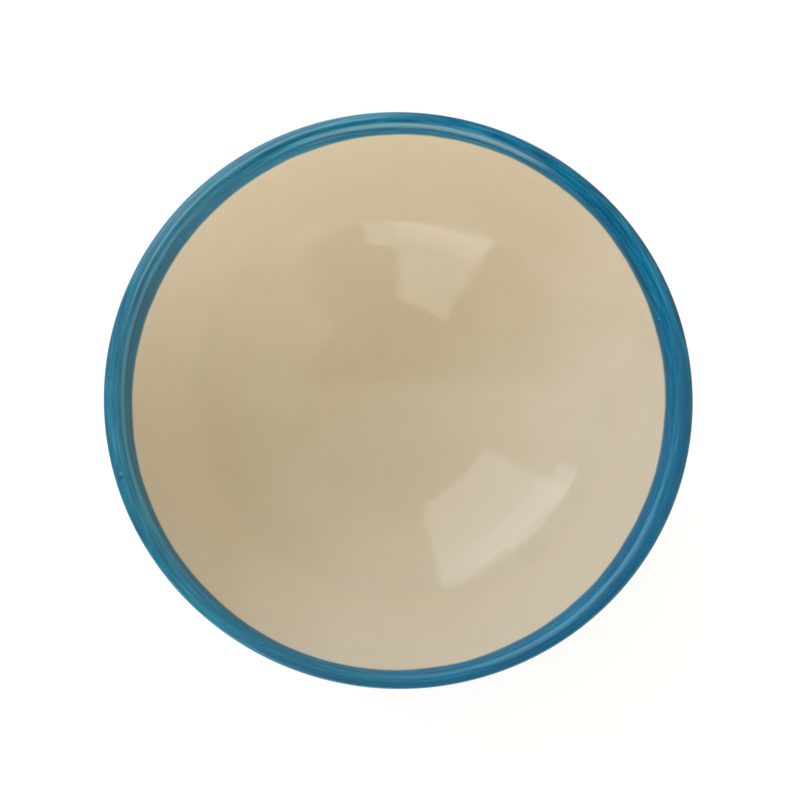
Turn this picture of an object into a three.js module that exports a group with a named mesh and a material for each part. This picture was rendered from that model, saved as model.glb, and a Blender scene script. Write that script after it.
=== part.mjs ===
// A small hand-thrown pickle bowl, in millimetres, +Z up, standing on z = 0 with its axis on Z.
// One fired clay body, with a trimmed foot ring, carries four coats that were fused to it in the kiln:
// a cream lining, a blue band brushed over the lip, a blue coat outside and a wash in the foot well.
import * as THREE from "three";

// Bowl, measured over the glaze
const rimDiameter = 110;
const innerDepth = 32;
const lipInsideRound = 3;
const lipOutsideRound = 1;
const floorThickness = 5.5;

// Foot ring
const footDiameter = 46;
const footRingWidth = 5;
const footWellDepth = 2.5;
const footFillet = 2.5;
const wellFillet = 1;
const ringEdgeRadius = 0.7;

// Glaze coats
const liningThickness = 0.4;
const blueThickness = 0.4;
const washThickness = 0.3;
const bandDropInside = 5;
const bandDropOutside = 7;
const bareFootHeight = 1.8;

// Facets round the bowl
const facets = 48;

// The lip has a broad round inside and a small one outside, which meet on its crest. Each face of the wall is
// part of a ball that touches the round on its side. All of it is worked out on the bare clay, from the sizes
// over the glaze.
const bowlHeight = innerDepth + floorThickness + footWellDepth;
const crestReach = rimDiameter / 2 - lipOutsideRound;
const insideLipLevel = bowlHeight - lipInsideRound;
const outsideLipLevel = bowlHeight - lipOutsideRound;
const insideClayLip = lipInsideRound - blueThickness;
const outsideClayLip = lipOutsideRound - blueThickness;
const clayCrest = bowlHeight - blueThickness;
const clayFloor = bowlHeight - innerDepth - liningThickness;
const clayUnderside = footWellDepth + blueThickness;

const insideDepth = clayCrest - clayFloor;
const insideRound =
  (crestReach ** 2 + insideDepth ** 2 - 2 * insideDepth * insideClayLip) / (2 * insideDepth);
const insideCentre = clayFloor + insideRound;
const insideLipTurn = Math.atan2(insideLipLevel - insideCentre, crestReach);

const outsideDepth = clayCrest - clayUnderside;
const outsideRound =
  (crestReach ** 2 + outsideDepth ** 2 - 2 * outsideDepth * outsideClayLip) /
  (2 * (outsideDepth - 2 * outsideClayLip));
const outsideCentre = clayUnderside + outsideRound;
const outsideLipTurn = Math.atan2(outsideLipLevel - outsideCentre, crestReach);

// Foot ring, whose fillet leaves the round of the wall above the corner that it rounds off
const clayWellLevel = footWellDepth + washThickness;
const footRadius = footDiameter / 2 - blueThickness;
const wellRadius = footDiameter / 2 - footRingWidth;
const filletReach = footRadius + footFillet;
const filletTurn = -Math.acos(filletReach / outsideRound);
const filletLevel = outsideCentre + outsideRound * Math.sin(filletTurn);
const filletCorner = filletLevel + footFillet / Math.tan(filletTurn);

// Turns at which the band ends on the two faces of the wall
const bandTurnOutside = Math.asin((bowlHeight - bandDropOutside - outsideCentre) / outsideRound);
const bandTurnInside = Math.asin((bowlHeight - bandDropInside - insideCentre) / insideRound);

function line(fromRadius, fromLevel, toRadius, toLevel) {
  return new THREE.LineCurve(
    new THREE.Vector2(fromRadius, fromLevel),
    new THREE.Vector2(toRadius, toLevel),
  );
}

function arc(centreRadius, centreLevel, size, fromTurn, toTurn) {
  return new THREE.EllipseCurve(centreRadius, centreLevel, size, size, fromTurn, toTurn, toTurn < fromTurn);
}

// The clay's outline runs from the axis under the well, round the foot and up the outside, over the lip and
// down to the axis on the inside floor. Each stretch between two glaze edges is a list of [curve, steps].
const quarter = Math.PI / 2;
const washed = [
  [line(0, clayWellLevel, wellRadius - wellFillet, clayWellLevel), 1],
  [arc(wellRadius - wellFillet, clayWellLevel - wellFillet, wellFillet, quarter, 0), 3],
];
const bare = [
  [line(wellRadius, clayWellLevel - wellFillet, wellRadius, ringEdgeRadius), 1],
  [arc(wellRadius + ringEdgeRadius, ringEdgeRadius, ringEdgeRadius, -2 * quarter, -quarter), 2],
  [line(wellRadius + ringEdgeRadius, 0, footRadius - ringEdgeRadius, 0), 1],
  [arc(footRadius - ringEdgeRadius, ringEdgeRadius, ringEdgeRadius, -quarter, 0), 2],
  [line(footRadius, ringEdgeRadius, footRadius, bareFootHeight), 1],
];
const outside = [
  [line(footRadius, bareFootHeight, footRadius, filletCorner - footFillet), 1],
  [
    new THREE.QuadraticBezierCurve(
      new THREE.Vector2(footRadius, filletCorner - footFillet),
      new THREE.Vector2(footRadius, filletCorner),
      new THREE.Vector2(filletReach, filletLevel),
    ),
    3,
  ],
  [arc(0, outsideCentre, outsideRound, filletTurn, bandTurnOutside), 9],
];
const overLip = [
  [arc(0, outsideCentre, outsideRound, bandTurnOutside, outsideLipTurn), 2],
  [arc(crestReach, outsideLipLevel, outsideClayLip, outsideLipTurn, 0), 1],
  [arc(crestReach, outsideLipLevel, outsideClayLip, 0, quarter), 4],
  [arc(crestReach, insideLipLevel, insideClayLip, quarter, 2 * quarter + insideLipTurn), 5],
  [arc(0, insideCentre, insideRound, insideLipTurn, bandTurnInside), 1],
];
const inside = [
  [arc(0, insideCentre, insideRound, bandTurnInside, -quarter), 14],
];

// Stations along a stretch: each point of the clay's face with the direction that points out of the clay.
function stationsAlong(stretch) {
  const stations = [];
  stretch.forEach(([curve, steps], index) => {
    for (let step = index === 0 ? 0 : 1; step <= steps; step++) {
      const point = curve.getPoint(step / steps);
      const along = curve.getTangent(step / steps);
      stations.push({ point, out: new THREE.Vector2(along.y, -along.x) });
    }
  });
  return stations;
}

// A point this close to the axis is put on it, so that a turned piece closes there.
const axisReach = 1e-6;

function onAxis(point) {
  return point.x < axisReach ? new THREE.Vector2(0, point.y) : point;
}

function clayFace(stretch) {
  return stationsAlong(stretch).map(({ point }) => onAxis(point));
}

function glazeFace(stretch, thickness) {
  return stationsAlong(stretch).map(({ point, out }) => onAxis(point.clone().addScaledVector(out, thickness)));
}

// Outline of a coat between its fused face and its free face. One that reaches the axis starts and ends on
// it, and the others close on themselves.
function coatOutline(stretch, thickness) {
  const fused = clayFace(stretch).reverse();
  const free = glazeFace(stretch, thickness);
  if (fused[0].x === 0) {
    return [...fused, ...free];
  }
  if (free[0].x === 0) {
    return [...free, ...fused];
  }
  return [...free, ...fused, free[0]];
}

function bodyOutline() {
  const outline = [];
  for (const stretch of [washed, bare, outside, overLip, inside]) {
    const face = clayFace(stretch);
    outline.push(...(outline.length === 0 ? face : face.slice(1)));
  }
  return outline;
}

const firedClay = new THREE.MeshStandardMaterial({ color: 0xc4a583, roughness: 0.85, metalness: 0 });
const creamGlaze = new THREE.MeshStandardMaterial({ color: 0xcbbb9d, roughness: 0.15, metalness: 0 });
const blueGlaze = new THREE.MeshStandardMaterial({ color: 0x266b89, roughness: 0.15, metalness: 0 });

function turned(name, outline, material) {
  const mesh = new THREE.Mesh(new THREE.LatheGeometry(outline, facets), material);
  mesh.name = name;
  return mesh;
}

const bowl = new THREE.Group();
bowl.name = "pickle_bowl";
bowl.add(
  turned("clay_body", bodyOutline(), firedClay),
  turned("cream_lining", coatOutline(inside, liningThickness), creamGlaze),
  turned("blue_rim_band", coatOutline(overLip, blueThickness), blueGlaze),
  turned("blue_outer_coat", coatOutline(outside, blueThickness), blueGlaze),
  turned("foot_well_wash", coatOutline(washed, washThickness), creamGlaze),
);

// A lathe turns about Y, so the bowl is tipped up to stand along Z.
bowl.rotation.x = quarter;

export default bowl;
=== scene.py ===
# A small hand-thrown pickle bowl: buff clay on a trimmed foot ring, lined with cream glaze, with blue glaze
# brushed over its lip and down its outside. It is seen from almost straight above.
import math

import bpy
from mathutils import Matrix, Vector


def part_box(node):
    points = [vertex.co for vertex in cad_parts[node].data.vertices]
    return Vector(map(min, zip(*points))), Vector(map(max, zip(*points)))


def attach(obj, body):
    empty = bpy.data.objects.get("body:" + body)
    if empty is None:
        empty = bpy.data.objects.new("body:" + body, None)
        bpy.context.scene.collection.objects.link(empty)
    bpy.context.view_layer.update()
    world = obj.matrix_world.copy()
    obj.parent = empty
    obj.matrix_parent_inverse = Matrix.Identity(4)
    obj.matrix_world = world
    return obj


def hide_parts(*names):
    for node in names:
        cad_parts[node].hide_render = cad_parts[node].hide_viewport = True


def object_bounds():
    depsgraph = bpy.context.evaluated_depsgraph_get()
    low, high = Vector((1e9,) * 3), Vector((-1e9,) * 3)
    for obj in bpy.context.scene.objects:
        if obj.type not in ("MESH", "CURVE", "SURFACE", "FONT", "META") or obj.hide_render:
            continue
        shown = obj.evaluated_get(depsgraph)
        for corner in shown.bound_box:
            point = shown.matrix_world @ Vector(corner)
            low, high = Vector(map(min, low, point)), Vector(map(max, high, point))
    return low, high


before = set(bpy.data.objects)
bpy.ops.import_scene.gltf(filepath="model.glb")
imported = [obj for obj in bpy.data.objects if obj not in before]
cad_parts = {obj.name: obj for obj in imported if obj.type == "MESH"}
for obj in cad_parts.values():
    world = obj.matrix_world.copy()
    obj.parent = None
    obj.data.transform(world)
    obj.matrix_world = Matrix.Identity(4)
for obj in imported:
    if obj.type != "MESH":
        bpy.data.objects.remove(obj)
cad_low, cad_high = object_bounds()


# Clay body: the bowl itself, thrown on a wheel from buff clay, with a foot ring trimmed out of the same lump
# when it was leather hard. Every coat is fused to it, and only the ring that stood in the kiln is bare.
rim_radius = (cad_high.x - cad_low.x) / 2
bowl_height = cad_high.z
clay_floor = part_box("cream_lining")[0].z
well_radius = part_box("foot_well_wash")[1].x
well_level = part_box("foot_well_wash")[1].z
bare_foot_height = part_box("blue_outer_coat")[0].z
lip_inside_round = 0.003
lip_outside_round = 0.001
foot_radius = 0.0226
foot_fillet = 0.0025
well_fillet = 0.001
ring_edge_radius = 0.0007
blue_thickness = 0.0004
wash_thickness = 0.0003
band_drop_inside = 0.005
band_drop_outside = 0.007

# The lip has a broad round inside and a small one outside, which meet on its crest. Each face of the wall is
# part of a ball that touches the round on its side.
crest_reach = rim_radius - lip_outside_round
inside_lip_level = bowl_height - lip_inside_round
outside_lip_level = bowl_height - lip_outside_round
inside_clay_lip = lip_inside_round - blue_thickness
outside_clay_lip = lip_outside_round - blue_thickness
clay_crest = bowl_height - blue_thickness
clay_underside = well_level - wash_thickness + blue_thickness

inside_depth = clay_crest - clay_floor
inside_round = crest_reach**2 + inside_depth**2 - 2 * inside_depth * inside_clay_lip
inside_round /= 2 * inside_depth
inside_centre = clay_floor + inside_round
inside_lip_turn = math.atan2(inside_lip_level - inside_centre, crest_reach)
inside_band_turn = math.asin((bowl_height - band_drop_inside - inside_centre) / inside_round)

outside_depth = clay_crest - clay_underside
outside_round = crest_reach**2 + outside_depth**2 - 2 * outside_depth * outside_clay_lip
outside_round /= 2 * (outside_depth - 2 * outside_clay_lip)
outside_centre = clay_underside + outside_round
outside_lip_turn = math.atan2(outside_lip_level - outside_centre, crest_reach)
outside_band_turn = math.asin((bowl_height - band_drop_outside - outside_centre) / outside_round)

fillet_reach = foot_radius + foot_fillet
fillet_turn = -math.acos(fillet_reach / outside_round)
fillet_level = outside_centre + outside_round * math.sin(fillet_turn)
fillet_corner = fillet_level + foot_fillet / math.tan(fillet_turn)


def straight(start, end, steps):
    """Stations on a straight stretch of the outline: a point (radius, level) and the way out of the clay."""
    way = Vector(end) - Vector(start)
    out = Vector((way.y, -way.x)).normalized()
    return [(Vector(start) + way * (step / steps), out) for step in range(steps + 1)]


def rounded(centre, size, first, last, steps):
    """Stations on an arc between two turns, measured from the level line that points away from the axis."""
    stations = []
    for step in range(steps + 1):
        turn = first + (last - first) * step / steps
        way = Vector((math.cos(turn), math.sin(turn)))
        stations.append((Vector(centre) + way * size, way if last > first else -way))
    return stations


def swept(start, corner, end, steps):
    """Stations on the curve that a trimming tool leaves where it rounds off a corner."""
    stations = []
    for step in range(steps + 1):
        first = Vector(start).lerp(Vector(corner), step / steps)
        second = Vector(corner).lerp(Vector(end), step / steps)
        way = second - first
        stations.append((first.lerp(second, step / steps), Vector((way.y, -way.x)).normalized()))
    return stations


def joined(*stretches):
    """One run of stations, with each station that two stretches share kept once."""
    run = list(stretches[0])
    for stretch in stretches[1:]:
        run += stretch[1:]
    return run


def measured(*stretches):
    """Adds how far along the clay each station lies from the crest of the lip: below zero outside."""
    length = 0.0
    last = stretches[0][0][0]
    lengths = []
    for point, _ in sum(stretches, []):
        length += (point - last).length
        lengths.append((point.y, length))
        last = point
    crest = max(lengths)[1]
    left = iter(lengths)
    return [[(point, out, next(left)[1] - crest) for point, out in stretch] for stretch in stretches]


# The outline runs from the axis under the well, round the foot, up the outside, over the lip and down to the
# axis on the inside floor. It is split where one coat ends and the next begins.
quarter = math.pi / 2
washed = joined(
    straight((0, well_level), (well_radius - well_fillet, well_level), 16),
    rounded((well_radius - well_fillet, well_level - well_fillet), well_fillet, quarter, 0, 6),
)
bare = joined(
    straight((well_radius, well_level - well_fillet), (well_radius, ring_edge_radius), 4),
    rounded((well_radius + ring_edge_radius, ring_edge_radius), ring_edge_radius, -2 * quarter, -quarter, 5),
    straight((well_radius + ring_edge_radius, 0), (foot_radius - ring_edge_radius, 0), 8),
    rounded((foot_radius - ring_edge_radius, ring_edge_radius), ring_edge_radius, -quarter, 0, 5),
    straight((foot_radius, ring_edge_radius), (foot_radius, bare_foot_height), 4),
)
fillet_start = (foot_radius, fillet_corner - foot_fillet)
outside = joined(
    straight((foot_radius, bare_foot_height), fillet_start, 12),
    swept(fillet_start, (foot_radius, fillet_corner), (fillet_reach, fillet_level), 10),
    rounded((0, outside_centre), outside_round, fillet_turn, outside_band_turn, 60),
)
over_lip = joined(
    rounded((0, outside_centre), outside_round, outside_band_turn, outside_lip_turn, 10),
    rounded((crest_reach, outside_lip_level), outside_clay_lip, outside_lip_turn, 0, 6),
    rounded((crest_reach, outside_lip_level), outside_clay_lip, 0, quarter, 14),
    rounded((crest_reach, inside_lip_level), inside_clay_lip, quarter, 2 * quarter + inside_lip_turn, 24),
    rounded((0, inside_centre), inside_round, inside_lip_turn, inside_band_turn, 10),
)
inside = rounded((0, inside_centre), inside_round, inside_band_turn, -quarter, 100)
washed, bare, outside, over_lip, inside = measured(washed, bare, outside, over_lip, inside)


def eased(low, high, value):
    """0 below low, 1 above high, and a soft rise between them."""
    share = min(max((value - low) / (high - low), 0), 1)
    return share * share * (3 - 2 * share)


# What the potter's hands left: the wall is a little out of round outside, the lip rises and falls, and the
# fingers left one long spiral of shallow rings.
out_of_round = 0.00057
lip_wave = 0.0005
ring_pitch = 0.0042
outside_ring_height = 0.00007
inside_ring_height = 0.000012

# Stretches over which these grow or fade, as distances from the axis or as levels
oval_rise = (0.1 * bowl_height, 0.75 * bowl_height)
wave_rise = (0.2 * bowl_height, bowl_height)
calm_middle = (0.04 * rim_radius, 0.15 * rim_radius)
calm_rim_inside = (0.7 * rim_radius, 0.9 * rim_radius)
calm_rim_outside = (0.6 * bowl_height, 0.85 * bowl_height)
calm_foot = (fillet_level, fillet_level + foot_fillet)

# How quickly they change on the way round, and the pressure of the fingers along the clay
wave_scale = 1.1
pressure_scale = 1.6
pressure_along = 90.0
mean_pressure = 0.6
wiped_edge_scale = 4.5
wiped_edge_slice = 4.0


def out_of_round_share(point, out):
    """How much of the out-of-round a station takes: none at the foot, and all of it on the upper wall."""
    return max(out.x, 0) * eased(*oval_rise, point.y)


def ring_height(point, out):
    """How high the throwing rings stand at a station. They fade out at the axis, the foot and the rim."""
    if out.y > 0:
        away_from_axis = eased(*calm_middle, point.x)
        return inside_ring_height * away_from_axis * (1 - eased(*calm_rim_inside, point.x))
    above_foot = eased(*calm_foot, point.y)
    return outside_ring_height * above_foot * (1 - eased(*calm_rim_outside, point.y))


def node(tree, kind, inputs, **settings):
    """Adds a node with its settings, and links or fills the inputs given by name or number."""
    made = tree.nodes.new(kind)
    for name, value in settings.items():
        setattr(made, name, value)
    for socket, value in inputs.items():
        if isinstance(value, bpy.types.NodeSocket):
            tree.links.new(value, made.inputs[socket])
        else:
            made.inputs[socket].default_value = value
    return made


def sum_of(tree, operation, *values):
    """A Math node's result."""
    return node(tree, "ShaderNodeMath", dict(enumerate(values)), operation=operation).outputs[0]


def wheel_tree():
    """Turns an outline about the axis, as a wheel does, with what the hands left added on the way round."""
    tree = bpy.data.node_groups.new("turned_on_the_wheel", "GeometryNodeTree")
    tree.interface.new_socket("Outline", in_out="INPUT", socket_type="NodeSocketGeometry")
    tree.interface.new_socket("Steps Round", in_out="INPUT", socket_type="NodeSocketInt")
    for size in ("Out Of Round", "Lip Wave", "Ring Pitch", "Seed"):
        tree.interface.new_socket(size, in_out="INPUT", socket_type="NodeSocketFloat")
    tree.interface.new_socket("Finish", in_out="INPUT", socket_type="NodeSocketMaterial")
    tree.interface.new_socket("Piece", in_out="OUTPUT", socket_type="NodeSocketGeometry")
    given = tree.nodes.new("NodeGroupInput").outputs
    outline = given["Outline"]

    # A grid with one row for each step round and one column for each station
    stations = node(tree, "GeometryNodeAttributeDomainSize", {0: outline}).outputs["Point Count"]
    rows = sum_of(tree, "ADD", given["Steps Round"], 1)
    grid = node(tree, "GeometryNodeMeshGrid", {"Vertices X": rows, "Vertices Y": stations})
    index = tree.nodes.new("GeometryNodeInputIndex").outputs[0]
    station = sum_of(tree, "MODULO", index, stations)
    row = sum_of(tree, "DIVIDE", sum_of(tree, "SUBTRACT", index, station), stations)
    angle = sum_of(tree, "DIVIDE", sum_of(tree, "MULTIPLY", row, 2 * math.pi), given["Steps Round"])
    ahead = sum_of(tree, "COSINE", angle)
    aside = sum_of(tree, "SINE", angle)

    def sampled(field, data_type):
        """A field's value at the station that a point of the grid was made for."""
        inputs = {"Geometry": outline, "Value": field, "Index": station}
        return node(tree, "GeometryNodeSampleIndex", inputs, data_type=data_type).outputs[0]

    def kept(name):
        """What the outline's maker marked on the station."""
        named = node(tree, "GeometryNodeInputNamedAttribute", {"Name": name}, data_type="FLOAT")
        return sampled(named.outputs[0], "FLOAT")

    def swing(x, y, z, scale):
        """Smooth noise from about -0.5 to 0.5, the same again after one turn."""
        place = node(tree, "ShaderNodeCombineXYZ", {0: x, 1: y, 2: z}).outputs[0]
        inputs = {"Vector": place, "W": given["Seed"], "Scale": scale, "Detail": 1.0}
        noise = node(tree, "ShaderNodeTexNoise", inputs, noise_dimensions="4D").outputs[0]
        return sum_of(tree, "SUBTRACT", noise, 0.5)

    position = tree.nodes.new("GeometryNodeInputPosition").outputs[0]
    place = node(tree, "ShaderNodeSeparateXYZ", {0: sampled(position, "FLOAT_VECTOR")}).outputs
    along = kept("along")

    # The spiral of rings lies on the clay, and the coats follow it
    ring_turn = sum_of(tree, "MULTIPLY", sum_of(tree, "DIVIDE", along, given["Ring Pitch"]), 2 * math.pi)
    ring = sum_of(tree, "SINE", sum_of(tree, "ADD", ring_turn, angle))
    steps_along = sum_of(tree, "MULTIPLY", along, pressure_along)
    pressure = sum_of(tree, "ADD", swing(ahead, aside, steps_along, pressure_scale), mean_pressure)
    ring = sum_of(tree, "MULTIPLY", sum_of(tree, "MULTIPLY", ring, pressure), kept("ring_height"))
    lift = sum_of(tree, "ADD", kept("lift"), ring)

    # Out of round, with two high sides, and the rise and fall of the lip and of a wiped edge
    oval = sum_of(tree, "COSINE", sum_of(tree, "MULTIPLY", angle, 2.0))
    oval = sum_of(tree, "MULTIPLY", sum_of(tree, "MULTIPLY", oval, given["Out Of Round"]), kept("oval"))
    radius = sum_of(tree, "MULTIPLY_ADD", kept("out_radius"), lift, place["X"])
    radius = sum_of(tree, "ADD", radius, oval)

    rise = sum_of(tree, "MULTIPLY", swing(ahead, aside, 0.0, wave_scale), given["Lip Wave"])
    rise = sum_of(tree, "MULTIPLY", rise, kept("rise"))
    wander = swing(ahead, aside, wiped_edge_slice, wiped_edge_scale)
    wander = sum_of(tree, "MULTIPLY", wander, kept("wander"))
    level = sum_of(tree, "MULTIPLY_ADD", kept("out_level"), lift, place["Z"])
    level = sum_of(tree, "ADD", sum_of(tree, "ADD", level, rise), wander)

    across = sum_of(tree, "MULTIPLY", radius, ahead)
    back = sum_of(tree, "MULTIPLY", radius, aside)
    turned_place = node(tree, "ShaderNodeCombineXYZ", {0: across, 1: back, 2: level}).outputs[0]
    shape = {"Geometry": grid.outputs["Mesh"], "Position": turned_place}
    shaped = node(tree, "GeometryNodeSetPosition", shape)
    mark = {"Geometry": shaped.outputs[0], "Name": "along", "Value": along}
    marked = node(tree, "GeometryNodeStoreNamedAttribute", mark, data_type="FLOAT", domain="POINT")
    closed = node(tree, "GeometryNodeMergeByDistance", {"Geometry": marked.outputs[0], "Distance": 1e-6})
    smooth = node(tree, "GeometryNodeSetShadeSmooth", {"Geometry": closed.outputs[0]})
    real = node(tree, "GeometryNodeRealizeInstances", {"Geometry": smooth.outputs[0]})
    finish = {"Geometry": real.outputs[0], "Material": given["Finish"]}
    finished = node(tree, "GeometryNodeSetMaterial", finish)
    node(tree, "NodeGroupOutput", {0: finished.outputs[0]})
    return tree


wheel = wheel_tree()
wheel_inputs = [item for item in wheel.interface.items_tree if item.in_out == "INPUT"]
wheel_sockets = {item.name: item.identifier for item in wheel_inputs}
wheel_settings = {
    "Steps Round": 288,
    "Out Of Round": out_of_round,
    "Lip Wave": lip_wave,
    "Ring Pitch": ring_pitch,
    "Seed": 7.0,
}
crease = math.radians(50)


def turned(name, outline, finish):
    """A finished piece from its outline, a list of (station, lift off the clay, wander of a wiped edge)."""
    mesh = bpy.data.meshes.new(name + "_outline")
    points = [(point.x, 0, point.y) for (point, _, _), _, _ in outline]
    mesh.from_pydata(points, [(index, index + 1) for index in range(len(points) - 1)], [])
    marks = {
        "out_radius": [out.x for (_, out, _), _, _ in outline],
        "out_level": [out.y for (_, out, _), _, _ in outline],
        "along": [along for (_, _, along), _, _ in outline],
        "oval": [out_of_round_share(point, out) for (point, out, _), _, _ in outline],
        "rise": [eased(*wave_rise, point.y) for (point, _, _), _, _ in outline],
        "ring_height": [ring_height(point, out) for (point, out, _), _, _ in outline],
        "lift": [lift for _, lift, _ in outline],
        "wander": [wander for _, _, wander in outline],
    }
    for mark, values in marks.items():
        mesh.attributes.new(mark, "FLOAT", "POINT").data.foreach_set("value", values)
    piece = bpy.data.objects.new(name, mesh)
    bpy.context.scene.collection.objects.link(piece)
    modifier = piece.modifiers.new("wheel", "NODES")
    modifier.node_group = wheel
    for socket, value in {**wheel_settings, "Finish": finish}.items():
        modifier[wheel_sockets[socket]] = value
    bpy.context.view_layer.update()
    evaluated = piece.evaluated_get(bpy.context.evaluated_depsgraph_get())
    finished_mesh = bpy.data.meshes.new_from_object(evaluated)
    piece.modifiers.clear()
    piece.data = finished_mesh
    bpy.data.meshes.remove(mesh)
    finished_mesh.name = name
    finished_mesh.set_sharp_from_angle(angle=crease)
    return piece


def seen_colour(red, green, blue):
    """A colour as it looks on a screen, from 0 to 255, as the light values that a shader takes."""
    shares = [value / 255 for value in (red, green, blue)]
    light = [share / 12.92 if share <= 0.04045 else ((share + 0.055) / 1.055) ** 2.4 for share in shares]
    return (*light, 1.0)


def new_finish(name):
    """An empty material, its node tree, its shader and the place on the piece that its patterns follow."""
    material = bpy.data.materials.new(name)
    material.use_nodes = True
    tree = material.node_tree
    place = tree.nodes.new("ShaderNodeTexCoord").outputs["Object"]
    return material, tree, tree.nodes["Principled BSDF"], place


def noise_at(tree, place, scale, detail, roughness=0.5):
    """Smooth noise from 0 to 1."""
    inputs = {"Vector": place, "Scale": scale, "Detail": detail, "Roughness": roughness}
    return node(tree, "ShaderNodeTexNoise", inputs).outputs[0]


def blended(tree, share, first, second):
    """A colour between two, which may be sockets or plain colours."""
    return node(tree, "ShaderNodeMix", {0: share, 6: first, 7: second}, data_type="RGBA").outputs[2]


def soft_step(tree, value, low, high, first=0.0, last=1.0):
    """A value that goes softly from first to last as another goes from low to high."""
    inputs = {0: value, 1: low, 2: high, 3: first, 4: last}
    return node(tree, "ShaderNodeMapRange", inputs, interpolation_type="SMOOTHSTEP").outputs[0]


clay_pale = seen_colour(206, 176, 138)
clay_warm = seen_colour(184, 148, 108)
clay_grit = seen_colour(122, 88, 60)
clay_toast = seen_colour(150, 98, 58)
toast_share = 0.55
cloud_scale = 120.0
grit_scale = 1500.0
grit_relief = 0.0001
clay_roughness = (0.78, 0.92)


def bare_clay():
    """Fired buff clay: sandy, matt and gritty, toasted darker along the edge of the glaze."""
    material, tree, shader, place = new_finish("bare_fired_clay")
    clouds = noise_at(tree, place, cloud_scale, 3.0)
    grit = noise_at(tree, place, grit_scale, 2.0, 0.7)
    colour = blended(tree, clouds, clay_pale, clay_warm)
    colour = blended(tree, soft_step(tree, grit, 0.6, 0.75), colour, clay_grit)
    height = node(tree, "ShaderNodeSeparateXYZ", {0: place}).outputs["Z"]
    toast = soft_step(tree, height, 0.4 * bare_foot_height, bare_foot_height, 0.0, toast_share)
    colour = blended(tree, toast, colour, clay_toast)
    tree.links.new(colour, shader.inputs["Base Color"])
    tree.links.new(soft_step(tree, clouds, 0.3, 0.7, *clay_roughness), shader.inputs["Roughness"])
    relief = node(tree, "ShaderNodeBump", {"Strength": 0.5, "Distance": grit_relief, "Height": grit})
    tree.links.new(relief.outputs[0], shader.inputs["Normal"])
    return material


clay_outline = [(station, 0.0, 0.0) for station in joined(washed, bare, outside, over_lip, inside)]
clay_body = turned("thrown_clay_body", clay_outline, bare_clay())
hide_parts("clay_body")
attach(clay_body, "root")


# Cream lining: an opaque, glossy cream glaze that was poured in, swirled over the whole inside and poured
# out again. The kiln fused it to the clay.
lining_thickness = 0.0004
cream_pale = seen_colour(206, 191, 163)
cream_warm = seen_colour(201, 184, 154)
cream_shade = seen_colour(192, 175, 143)
cream_ior = 1.6
drift_scale = 17.0
mottle_scale = 140.0
mottle_share = 0.15
glaze_wave_scale = 120.0
glaze_wave_relief = 0.0002
peel_scale = 420.0
peel_relief = 0.00002
glaze_roughness = (0.07, 0.11)
wiped_share = 0.25
wiped_reach = 0.0012
wander_reach = 0.004
wander_height = 0.0009


def coat(stretch, thickness, wiped_edge=None):
    """A coat's outline, between its free face and the face that is fused to the clay. A wiped edge is given
    by its station: the glaze thins out there, and the edge wanders up and down."""
    free = []
    fused = []
    for station in stretch:
        from_edge = abs(station[2] - wiped_edge[2]) if wiped_edge else math.inf
        lift = thickness * (wiped_share + (1 - wiped_share) * eased(0, wiped_reach, from_edge))
        wander = wander_height * (1 - eased(0, wander_reach, from_edge))
        free.append((station, lift, wander))
        fused.insert(0, (station, 0.0, wander))
    on_axis = 1e-7
    if stretch[-1][0].x < on_axis:
        return fused + free
    if stretch[0][0].x < on_axis:
        return free + fused
    return free + fused + free[:1]


def cream_tone(tree, place):
    """Cream, with the slow drift of tone of a poured glaze."""
    drift = soft_step(tree, noise_at(tree, place, drift_scale, 2.0), 0.35, 0.65)
    mottle = soft_step(tree, noise_at(tree, place, mottle_scale, 2.0), 0.45, 0.75, 0.0, mottle_share)
    return blended(tree, mottle, blended(tree, drift, cream_pale, cream_warm), cream_shade)


def glaze_surface(tree, shader, place, ior):
    """Sets the gloss of a melted glaze, and gives the way that its faintly waved surface faces."""
    waves = noise_at(tree, place, glaze_wave_scale, 2.0)
    peel = noise_at(tree, place, peel_scale, 2.0)
    shader.inputs["IOR"].default_value = ior
    tree.links.new(soft_step(tree, peel, 0.3, 0.7, *glaze_roughness), shader.inputs["Roughness"])
    broad = {"Strength": 0.3, "Distance": glaze_wave_relief, "Height": waves}
    broad = node(tree, "ShaderNodeBump", broad).outputs[0]
    fine = {"Strength": 0.25, "Distance": peel_relief, "Height": peel, "Normal": broad}
    return node(tree, "ShaderNodeBump", fine).outputs[0]


def cream_glaze():
    """Cream glaze, as it was poured."""
    material, tree, shader, place = new_finish("poured_cream_glaze")
    tree.links.new(cream_tone(tree, place), shader.inputs["Base Color"])
    tree.links.new(glaze_surface(tree, shader, place, cream_ior), shader.inputs["Normal"])
    return material


lining = turned("poured_cream_lining", coat(inside, lining_thickness), cream_glaze())
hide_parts("cream_lining")
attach(lining, "root")


# Blue rim band: blue glaze laid over the lip with a loaded brush while the bowl turned, so that the bristles
# left rings of thick and thin colour. Its lower edge inside melts softly into the cream.
band_edge = 0.0045
edge_softness = 0.00035
thin_paint_reach = 0.0007
thin_paint_share = 0.7
edge_sway = 0.0008
edge_sway_around = 5.0
stroke_sway = 0.003
sway_around = 1.6
sway_along = 60.0
ring_sway = 0.0004
ring_softness = 0.00025
bristle_relief = 0.00003
wet_side = math.radians(15)
dry_share = 0.4
smooth_side = math.radians(-55)
smooth_sharpness = 0.6
wall_below_lip = (-0.006, -0.002)
wall_sharpness = 0.45
top_of_lip = (-0.0012, -0.0006)
blue_deep = (0.001, 0.065, 0.132, 1.0)
blue_mid = (0.003, 0.12, 0.212, 1.0)
blue_clear = (0.006, 0.168, 0.27, 1.0)
blue_light = (0.03, 0.25, 0.375, 1.0)
blue_dry = (0.034, 0.155, 0.185, 1.0)
blue_thin = (0.026, 0.15, 0.195, 1.0)
blue_ior = 1.42

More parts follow.
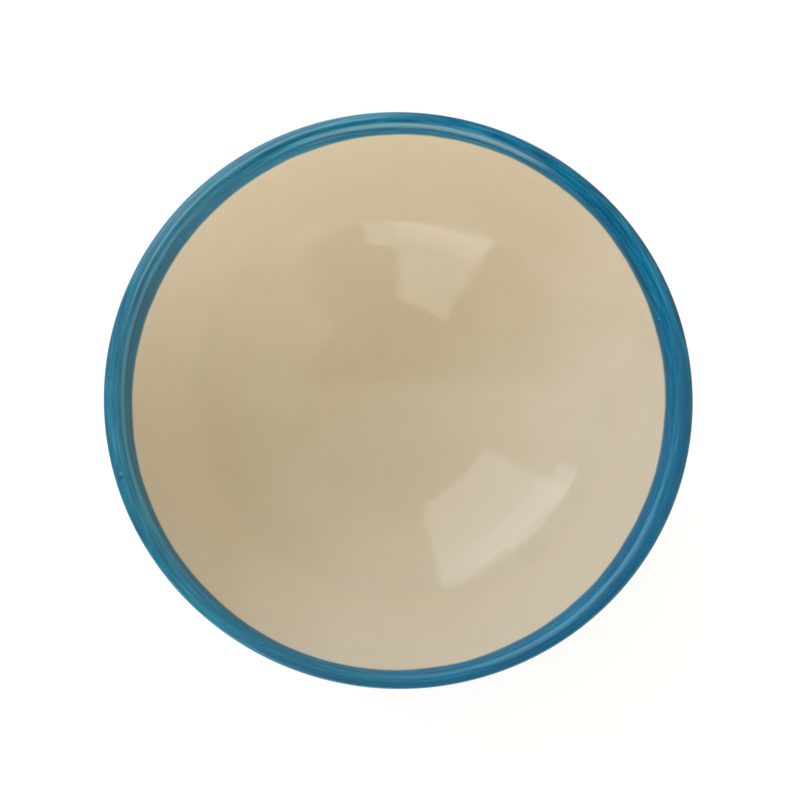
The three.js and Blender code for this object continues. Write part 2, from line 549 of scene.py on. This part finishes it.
# Brush strokes, from broad bands through bristle lines to hair lines: how often they break round the bowl
# and along the clay, the detail and roughness of their noise, and their share
brush_strokes = (
    (1.8, 800.0, 1.0, 0.5, 0.26),
    (4.0, 2300.0, 2.0, 0.6, 0.42),
    (10.0, 4000.0, 1.0, 0.5, 0.32),
)

# Tones of the strokes, from where the glaze lies thick to where it lies thin
stroke_tones = ((0.4, blue_deep), (0.48, blue_mid), (0.54, blue_clear), (0.62, blue_light))

# Slow waves of the edge inside: how many there are round the bowl, the angle of a peak, and their height
edge_waves = ((1, math.radians(-50), 0.0005), (2, math.radians(55), 0.0007))

# Rings on the lip, where the glaze broke thin or pooled, and painted highlights, reflections and shade: the
# side they lie on, how far round they start and are full, by the cosine of the turn from that side, the
# lengths along the clay that they lie between, and their share and colour
glaze_rings = (
    (math.radians(135), -0.3, 0.6, 0.0026, 0.0045, 0.38, (0.01, 0.09, 0.15, 1.0)),
    # Paler over the crest at the back-left: thin glaze there, and a painted reflection of bright
    # surroundings
    (math.radians(120), 0.75, 0.97, -0.0008, 0.0008, 0.25, (0.2, 0.4, 0.45, 1.0)),
    (math.radians(0), 0.7, 0.95, 0.0008, 0.0045, 0.25, (0.002, 0.06, 0.12, 1.0)),
    # Painted highlight: the front window mirrored in the inner shoulder at the back, over thin, paler glaze
    (math.radians(85), 0.84, 0.97, 0.0016, 0.0024, 0.75, (0.17, 0.3, 0.32, 1.0)),
    # Thin glaze breaking on the inner shoulder at the left, lightened further as a painted reflection
    (math.radians(178), 0.6, 0.92, 0.0015, 0.0021, 0.65, (0.12, 0.25, 0.29, 1.0)),
    # Painted reflection: a dark line where the inner shoulder mirrors the blue band across the bowl
    (math.radians(178), 0.6, 0.92, 0.0024, 0.0026, 0.7, (0.015, 0.07, 0.11, 1.0)),
    # Painted highlight: a thin bright line near the crest, where the lip mirrors the back window
    (math.radians(128), 0.75, 0.92, 0.00048, 0.00058, 0.95, (0.24, 0.47, 0.56, 1.0)),
    (math.radians(-50), 0.1, 0.75, -0.0004, 0.0008, 0.65, (0.002, 0.07, 0.145, 1.0)),
    # Painted reflection: a soft light streak where the inner shoulder mirrors the back window
    (math.radians(-55), 0.5, 0.9, 0.0014, 0.0021, 0.45, (0.08, 0.29, 0.38, 1.0)),
    # Painted shade: dark along the outer edge of the lip, where it turns from the light and mirrors dark
    # surroundings
    (math.radians(20), -0.3, 0.4, -0.0022, -0.0005, 0.8, (0.03, 0.05, 0.05, 1.0)),
)

# Pinholes that gas left in the glaze: their angle and distance from the axis, and their size
pinhole_share = 0.9
pinhole_lip_share = 0.7
pinholes = (
    (math.radians(196), 0.0543, 0.0005),
    (math.radians(176), 0.0548, 0.00025),
    (math.radians(128), 0.0525, 0.00025),
    (math.radians(17), 0.0515, 0.0003),
    (math.radians(241), 0.0528, 0.00025),
)


def along_clay(tree):
    """How far along the clay a point lies from the crest of the lip."""
    return node(tree, "ShaderNodeAttribute", {}, attribute_name="along").outputs["Fac"]


def flat_place(tree, place):
    """The place without its height."""
    return node(tree, "ShaderNodeVectorMath", {0: place, 1: (1, 1, 0)}, operation="MULTIPLY").outputs[0]


def way_out(tree, place):
    """The direction from the axis to a place, one unit long."""
    return node(tree, "ShaderNodeVectorMath", {0: flat_place(tree, place)}, operation="NORMALIZE").outputs[0]


def round_the_bowl(tree, place, along, around_scale, along_scale):
    """A place for noise that is drawn out round the bowl, as a brush draws its paint."""
    drawn = {0: way_out(tree, place), "Scale": around_scale}
    drawn = node(tree, "ShaderNodeVectorMath", drawn, operation="SCALE").outputs[0]
    steps = node(tree, "ShaderNodeCombineXYZ", {2: sum_of(tree, "MULTIPLY", along, along_scale)}).outputs[0]
    return node(tree, "ShaderNodeVectorMath", {0: drawn, 1: steps}, operation="ADD").outputs[0]


def side_share(tree, place, angle):
    """1 on the side of the bowl at an angle, 0 a quarter turn from it and -1 across from it."""
    way = {0: way_out(tree, place), 1: (math.cos(angle), math.sin(angle), 0)}
    return node(tree, "ShaderNodeVectorMath", way, operation="DOT_PRODUCT").outputs["Value"]


def once_round(tree, place, times, peak, height):
    """A slow wave that comes a number of times on the way round, with a peak at an angle."""
    part = node(tree, "ShaderNodeSeparateXYZ", {0: place}).outputs
    angle = sum_of(tree, "SUBTRACT", sum_of(tree, "ARCTAN2", part["Y"], part["X"]), peak)
    wave = sum_of(tree, "COSINE", sum_of(tree, "MULTIPLY", angle, float(times)))
    return sum_of(tree, "MULTIPLY", wave, height)


def blue_glaze():
    """Blue glaze with the marks of the brush, of the kiln and of its edge inside, and painted highlights and
    shade.
    """
    material, tree, shader, place = new_finish("brushed_blue_glaze")
    along = along_clay(tree)

    # Brush strokes, which sway a little along the clay
    sway = noise_at(tree, round_the_bowl(tree, place, along, sway_around, sway_along), 1.0, 2.0)
    drawn = sum_of(tree, "MULTIPLY_ADD", sway, stroke_sway, along)
    streak = 0.0
    for around, across, detail, roughness, share in brush_strokes:
        stroke = noise_at(tree, round_the_bowl(tree, place, drawn, around, across), 1.0, detail, roughness)
        streak = sum_of(tree, "MULTIPLY_ADD", stroke, share, streak)

    # On the wall outside, and on one side of the lip, the strokes have run together
    sharpness = soft_step(tree, along, *wall_below_lip, wall_sharpness, 1.0)
    smooth = soft_step(tree, side_share(tree, place, smooth_side), -0.2, 0.7, 1.0, smooth_sharpness)
    sharpness = sum_of(tree, "MULTIPLY", sharpness, smooth)
    streak = sum_of(tree, "MULTIPLY_ADD", sum_of(tree, "SUBTRACT", streak, 0.5), sharpness, 0.5)
    ramp = node(tree, "ShaderNodeValToRGB", {0: streak})
    stops = ramp.color_ramp.elements
    stops.remove(stops[1])
    for position, tone in stroke_tones:
        stops.new(position).color = tone
    stops.remove(stops[0])
    colour = ramp.outputs[0]

    # The brush was full on one side and ran drier on its way round
    dry = soft_step(tree, side_share(tree, place, wet_side), -0.75, 0.45, dry_share, 0.0)
    colour = blended(tree, dry, colour, blue_dry)

    # Thin and pooled rings, and rings of painted highlight, reflection and shade
    wavering = sum_of(tree, "SUBTRACT", along, ring_sway / 2)
    wavering = sum_of(tree, "MULTIPLY_ADD", sway, ring_sway, wavering)
    for side, started, full, start, end, share, tone in glaze_rings:
        ring = soft_step(tree, wavering, start - ring_softness, start + ring_softness)
        fall = soft_step(tree, wavering, end - ring_softness, end + ring_softness, 1.0, 0.0)
        there = soft_step(tree, side_share(tree, place, side), started, full, 0.0, share)
        ring = sum_of(tree, "MULTIPLY", sum_of(tree, "MULTIPLY", ring, fall), there)
        colour = blended(tree, ring, colour, tone)

    # Pinholes, dark, each with a painted highlight: a paler spot on its side toward the back
    on_lip = soft_step(tree, along, *top_of_lip)
    for angle, reach, size in pinholes:
        spot = (reach * math.cos(angle), reach * math.sin(angle), 0)
        away = {0: flat_place(tree, place), 1: spot}
        away = node(tree, "ShaderNodeVectorMath", away, operation="DISTANCE").outputs["Value"]
        hole = soft_step(tree, away, 0.4 * size, 1.1 * size, pinhole_share, 0.0)
        hole = sum_of(tree, "MULTIPLY", on_lip, hole)
        colour = blended(tree, hole, colour, blue_deep)
        # Painted highlight: a pale spot on the lip of the pinhole, toward the back
        lip = {0: flat_place(tree, place), 1: (spot[0], spot[1] + 1.3 * size, 0)}
        lip = node(tree, "ShaderNodeVectorMath", lip, operation="DISTANCE").outputs["Value"]
        lip = soft_step(tree, lip, 0.3 * size, 1.1 * size, pinhole_lip_share, 0.0)
        lip = sum_of(tree, "MULTIPLY", on_lip, lip)
        colour = blended(tree, lip, colour, blue_light)

    # Lower edge inside, which wanders a little, thins and melts into the cream
    edged = noise_at(tree, round_the_bowl(tree, place, along, edge_sway_around, 0.0), 1.0, 3.0)
    edged = sum_of(tree, "MULTIPLY_ADD", edged, edge_sway, along)
    for times, peak, height in edge_waves:
        edged = sum_of(tree, "ADD", edged, once_round(tree, place, times, peak, height))
    thin = soft_step(tree, edged, band_edge - thin_paint_reach, band_edge, 0.0, thin_paint_share)
    colour = blended(tree, thin, colour, blue_thin)
    gone = soft_step(tree, edged, band_edge, band_edge + 2 * edge_softness)
    colour = blended(tree, gone, colour, cream_tone(tree, place))
    tree.links.new(colour, shader.inputs["Base Color"])
    surface = glaze_surface(tree, shader, place, blue_ior)
    bristles = {"Strength": 0.3, "Distance": bristle_relief, "Height": streak, "Normal": surface}
    tree.links.new(node(tree, "ShaderNodeBump", bristles).outputs[0], shader.inputs["Normal"])
    return material


brushed_blue = blue_glaze()
band = turned("brushed_blue_rim", coat(over_lip, blue_thickness), brushed_blue)
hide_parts("blue_rim_band")
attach(band, "root")


# Blue outer coat: the same blue glaze, brushed round the outside from the band down to the foot. It was
# wiped off above the kiln shelf, where its edge is thin and uneven.
outer_coat = turned("brushed_blue_outside", coat(outside, blue_thickness, outside[0]), brushed_blue)
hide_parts("blue_outer_coat")
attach(outer_coat, "root")


# Foot well wash: a thin wash of the cream glaze in the recess under the bowl, through which the clay shows.
# It was brushed in upside down, and wiped off the inner side of the ring.
wash_scale = 90.0
clay_through_wash = seen_colour(190, 156, 116)


def thin_wash():
    """Cream that lies so thin in places that the clay's colour comes through."""
    material, tree, shader, place = new_finish("thin_cream_wash")
    thinness = soft_step(tree, noise_at(tree, place, wash_scale, 4.0, 0.6), 0.4, 0.75, 0.1, 0.6)
    colour = blended(tree, thinness, cream_tone(tree, place), clay_through_wash)
    tree.links.new(colour, shader.inputs["Base Color"])
    tree.links.new(glaze_surface(tree, shader, place, cream_ior), shader.inputs["Normal"])
    return material


wash = turned("foot_well_cream", coat(washed, wash_thickness, washed[-1]), thin_wash())
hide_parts("foot_well_wash")
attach(wash, "root")


# Floor: a plain pale table top, one flat sheet, on which the bowl stands free. The camera sees it white, and
# it keeps the bowl's soft shadow.
floor_half = 6.0
floor_pale = (0.8, 0.8, 0.8, 1)
floor_shaded = (0.42, 0.42, 0.42, 1)
floor_lifted = (0.69, 0.665, 0.645, 1)
floor_mesh = bpy.data.meshes.new("pale_table")
corners = [(x * floor_half, y * floor_half, 0) for x, y in ((-1, -1), (1, -1), (1, 1), (-1, 1))]
floor_mesh.from_pydata(corners, [], [(0, 1, 2, 3)])
floor = bpy.data.objects.new("pale_table", floor_mesh)
bpy.context.scene.collection.objects.link(floor)
table_top = bpy.data.materials.new("pale_table_top")
table_top.use_nodes = True
tree = table_top.node_tree
tree.nodes.clear()
path = tree.nodes.new("ShaderNodeLightPath").outputs
seen = sum_of(tree, "MAXIMUM", path["Is Camera Ray"], path["Is Glossy Ray"])
seen = sum_of(tree, "MAXIMUM", seen, path["Is Transmission Ray"])
pale = node(tree, "ShaderNodeBsdfDiffuse", {"Color": floor_pale}).outputs[0]
shaded = node(tree, "ShaderNodeBsdfDiffuse", {"Color": floor_shaded}).outputs[0]
lifted = node(tree, "ShaderNodeEmission", {"Color": floor_lifted, "Strength": 1.0}).outputs[0]
white = node(tree, "ShaderNodeAddShader", {0: shaded, 1: lifted}).outputs[0]
top = node(tree, "ShaderNodeMixShader", {0: seen, 1: pale, 2: white}).outputs[0]
node(tree, "ShaderNodeOutputMaterial", {0: top})
floor_mesh.materials.append(table_top)


# Light: daylight from two tall windows, each with a low pane beside it, in a room with two lit walls. The
# glaze mirrors a dimmer room than the one that lights the bowl, with a shade over its front, so the windows
# and the room have colours of their own for it.
mirrored_radiance = 1.7
faded_edge = 0.045
low_light = 1.5
high_light = 0.79
low_to_high = (0.08, 0.32)
left_end = (0.1, 0.45)


def window(name, facing, distance, left, right, low, high, tint, glow, slant=0.0, low_left=low_light):
    """An upright window in a wall that faces the bowl, between two places along the wall and two heights.
    The glaze mirrors its tint, with faded edges, and the glow behind it only lights the bowl. The lower edge
    is the brightest. It may slant up from left to right, and be less bright at its left end."""
    turn = math.radians(facing)
    width = right - left
    height = high - low
    place = Vector((-math.cos(turn), -math.sin(turn), 0)) * distance
    place += Vector((math.sin(turn), -math.cos(turn), 0)) * (left + right) / 2
    place.z = (low + high) / 2
    for mirrored, colour in ((True, [mirrored_radiance * share for share in tint]), (False, glow)):
        lamp = bpy.data.lights.new(name, "AREA")
        lamp.shape = "RECTANGLE"
        lamp.size = width
        lamp.size_y = height
        lamp.color = colour
        lamp.energy = math.pi * width * height
        if mirrored:
            lamp.use_nodes = True
            tree = lamp.node_tree
            spot = tree.nodes.new("ShaderNodeNewGeometry").outputs["Parametric"]
            spot = node(tree, "ShaderNodeSeparateXYZ", {0: spot}).outputs
            share = 1.0
            above = sum_of(tree, "MULTIPLY_ADD", spot["X"], -slant / height, spot["Y"])
            for from_start, to_end, size in ((spot["X"], spot["X"], width), (above, spot["Y"], height)):
                rise = soft_step(tree, from_start, 0.0, faded_edge / size)
                fall = soft_step(tree, to_end, 1 - faded_edge / size, 1.0, 1.0, 0.0)
                share = sum_of(tree, "MULTIPLY", share, sum_of(tree, "MULTIPLY", rise, fall))
            low_part = soft_step(tree, spot["X"], *left_end, low_left, low_light)
            upwards = soft_step(tree, spot["Y"], *low_to_high, low_part, high_light)
            share = sum_of(tree, "MULTIPLY", share, upwards)
            tree.links.new(share, tree.nodes["Emission"].inputs["Strength"])
        stand = bpy.data.objects.new(name, lamp)
        stand.location = place
        stand.rotation_euler = (math.pi / 2, 0, turn - math.pi / 2)
        stand.visible_camera = False
        stand.visible_glossy = mirrored
        bpy.context.scene.collection.objects.link(stand)


front_tint = (0.97, 1.03, 1.0)
front_glow = (1.82, 1.37, 2.0)
back_tint = (0.76, 0.79, 0.84)
back_glow = (1.75, 2.01, 3.18)
window("front_window", 58, 0.735, 0.01, 0.525, 0.26, 1.18, front_tint, front_glow, slant=0.085)
window("front_low_pane", 58, 0.745, 0.48, 0.815, 0.35, 0.66, front_tint, front_glow, slant=0.05)
window("back_window", -44, 1.0, -0.74, 0.255, 0.315, 1.43, back_tint, back_glow, low_left=1.0)
window("back_low_pane", -44, 1.01, 0.212, 0.38, 0.32, 0.56, back_tint, back_glow)

room_walls = (0.34, 0.13, 0.06, 1)
room_ceiling = (0.695, 0.683, 0.53, 1)
mirrored_walls = (0.36, 0.36, 0.33, 1)
mirrored_front = (0.7, 0.7, 0.7, 1)
mirrored_ceiling = (0.6, 0.6, 0.62, 1)
mirrored_shade = (0.1, 0.1, 0.1, 1)
white_background = (1, 1, 1, 1)

# Where the walls turn into the ceiling and into the front of the room, by parts of a direction
wall_to_ceiling = (0.25, 0.62)
mirrored_wall_to_ceiling = (0.3, 0.6)
front_to_walls = (-0.9, -0.5)

# Walls that daylight falls on: the side they lie on, where the light starts and is full, by the cosine of
# the turn from that side, and the light
lit_walls = (
    (math.radians(-70), 0.4, 0.95, (2.64, 2.98, 3.4, 1)),
    (math.radians(135), 0.2, 0.9, (0.88, 1.29, 1.79, 1)),
)

# Shade over the front of the room, as the glaze mirrors it, by parts of a direction: how far to the right it
# reaches, the folds of that edge, and where it starts at the back and above the table
shade_reach = 0.505
shade_softness = 0.02
fold_depth = 0.09
fold_pitch = 0.5
fold_peak = -0.67
shade_back = (-0.17, -0.05)
shade_low = (0.3, 0.37)

world = bpy.data.worlds.new("pale_room")
world.use_nodes = True
tree = world.node_tree
direction = tree.nodes.new("ShaderNodeTexCoord").outputs["Generated"]
part = node(tree, "ShaderNodeSeparateXYZ", {0: direction}).outputs
ceiling = soft_step(tree, part["Z"], *wall_to_ceiling)
walls = room_walls
for side, started, full, light in lit_walls:
    way = (math.cos(side), math.sin(side), 0)
    towards = node(tree, "ShaderNodeVectorMath", {0: direction, 1: way}, operation="DOT_PRODUCT")
    walls = blended(tree, soft_step(tree, towards.outputs["Value"], started, full), walls, light)
room = blended(tree, ceiling, walls, room_ceiling)
front = soft_step(tree, part["Y"], *front_to_walls, 1.0, 0.0)
mirrored_room = blended(tree, front, mirrored_walls, mirrored_front)
ceiling = soft_step(tree, part["Z"], *mirrored_wall_to_ceiling)
mirrored_room = blended(tree, ceiling, mirrored_room, mirrored_ceiling)
fold = sum_of(tree, "MULTIPLY", sum_of(tree, "SUBTRACT", part["Y"], fold_peak), 2 * math.pi / fold_pitch)
shade_edge = sum_of(tree, "MULTIPLY_ADD", sum_of(tree, "COSINE", fold), fold_depth, shade_reach)
shade = soft_step(tree, sum_of(tree, "SUBTRACT", shade_edge, part["X"]), -shade_softness, shade_softness)
shade = sum_of(tree, "MULTIPLY", shade, soft_step(tree, part["Y"], *shade_back, 1.0, 0.0))
shade = sum_of(tree, "MULTIPLY", shade, soft_step(tree, part["Z"], *shade_low))
mirrored_room = blended(tree, shade, mirrored_room, mirrored_shade)
path = tree.nodes.new("ShaderNodeLightPath").outputs
room = blended(tree, path["Is Glossy Ray"], room, mirrored_room)
seen = sum_of(tree, "MAXIMUM", path["Is Camera Ray"], path["Is Transmission Ray"])
room = blended(tree, seen, room, white_background)
tree.links.new(room, tree.nodes["Background"].inputs["Color"])
bpy.context.scene.world = world
bpy.context.scene.view_settings.view_transform = "Standard"


# Camera: held over the bowl, leaning a little to the left and to the front. Its aim and its lens follow from
# the place of the rim's middle in the picture and from the scale there.
image_size = 800
camera_distance = 0.6
lean_left = math.radians(4.0)
lean_front = math.radians(4.0)
pixels_per_metre = 5323.0
rim_pixel = (400.5, 398.5)
back = Vector((-math.tan(lean_left), -math.tan(lean_front), 1)).normalized()
right = Vector((0, 1, 0)).cross(back).normalized()
up = back.cross(right)
camera_data = bpy.data.cameras.new("overhead_camera")
camera_data.sensor_width = 36.0
camera_data.lens = camera_data.sensor_width * pixels_per_metre * camera_distance / image_size
aim = Vector((0, 0, bowl_height))
aim += right * (image_size / 2 - rim_pixel[0]) / pixels_per_metre
aim -= up * (image_size / 2 - rim_pixel[1]) / pixels_per_metre
camera = bpy.data.objects.new("overhead_camera", camera_data)
camera.matrix_world = Matrix.LocRotScale(aim + back * camera_distance, None, None)
camera.matrix_world = camera.matrix_world @ Matrix((right, up, back)).transposed().to_4x4()
bpy.context.scene.collection.objects.link(camera)
bpy.context.scene.camera = camera
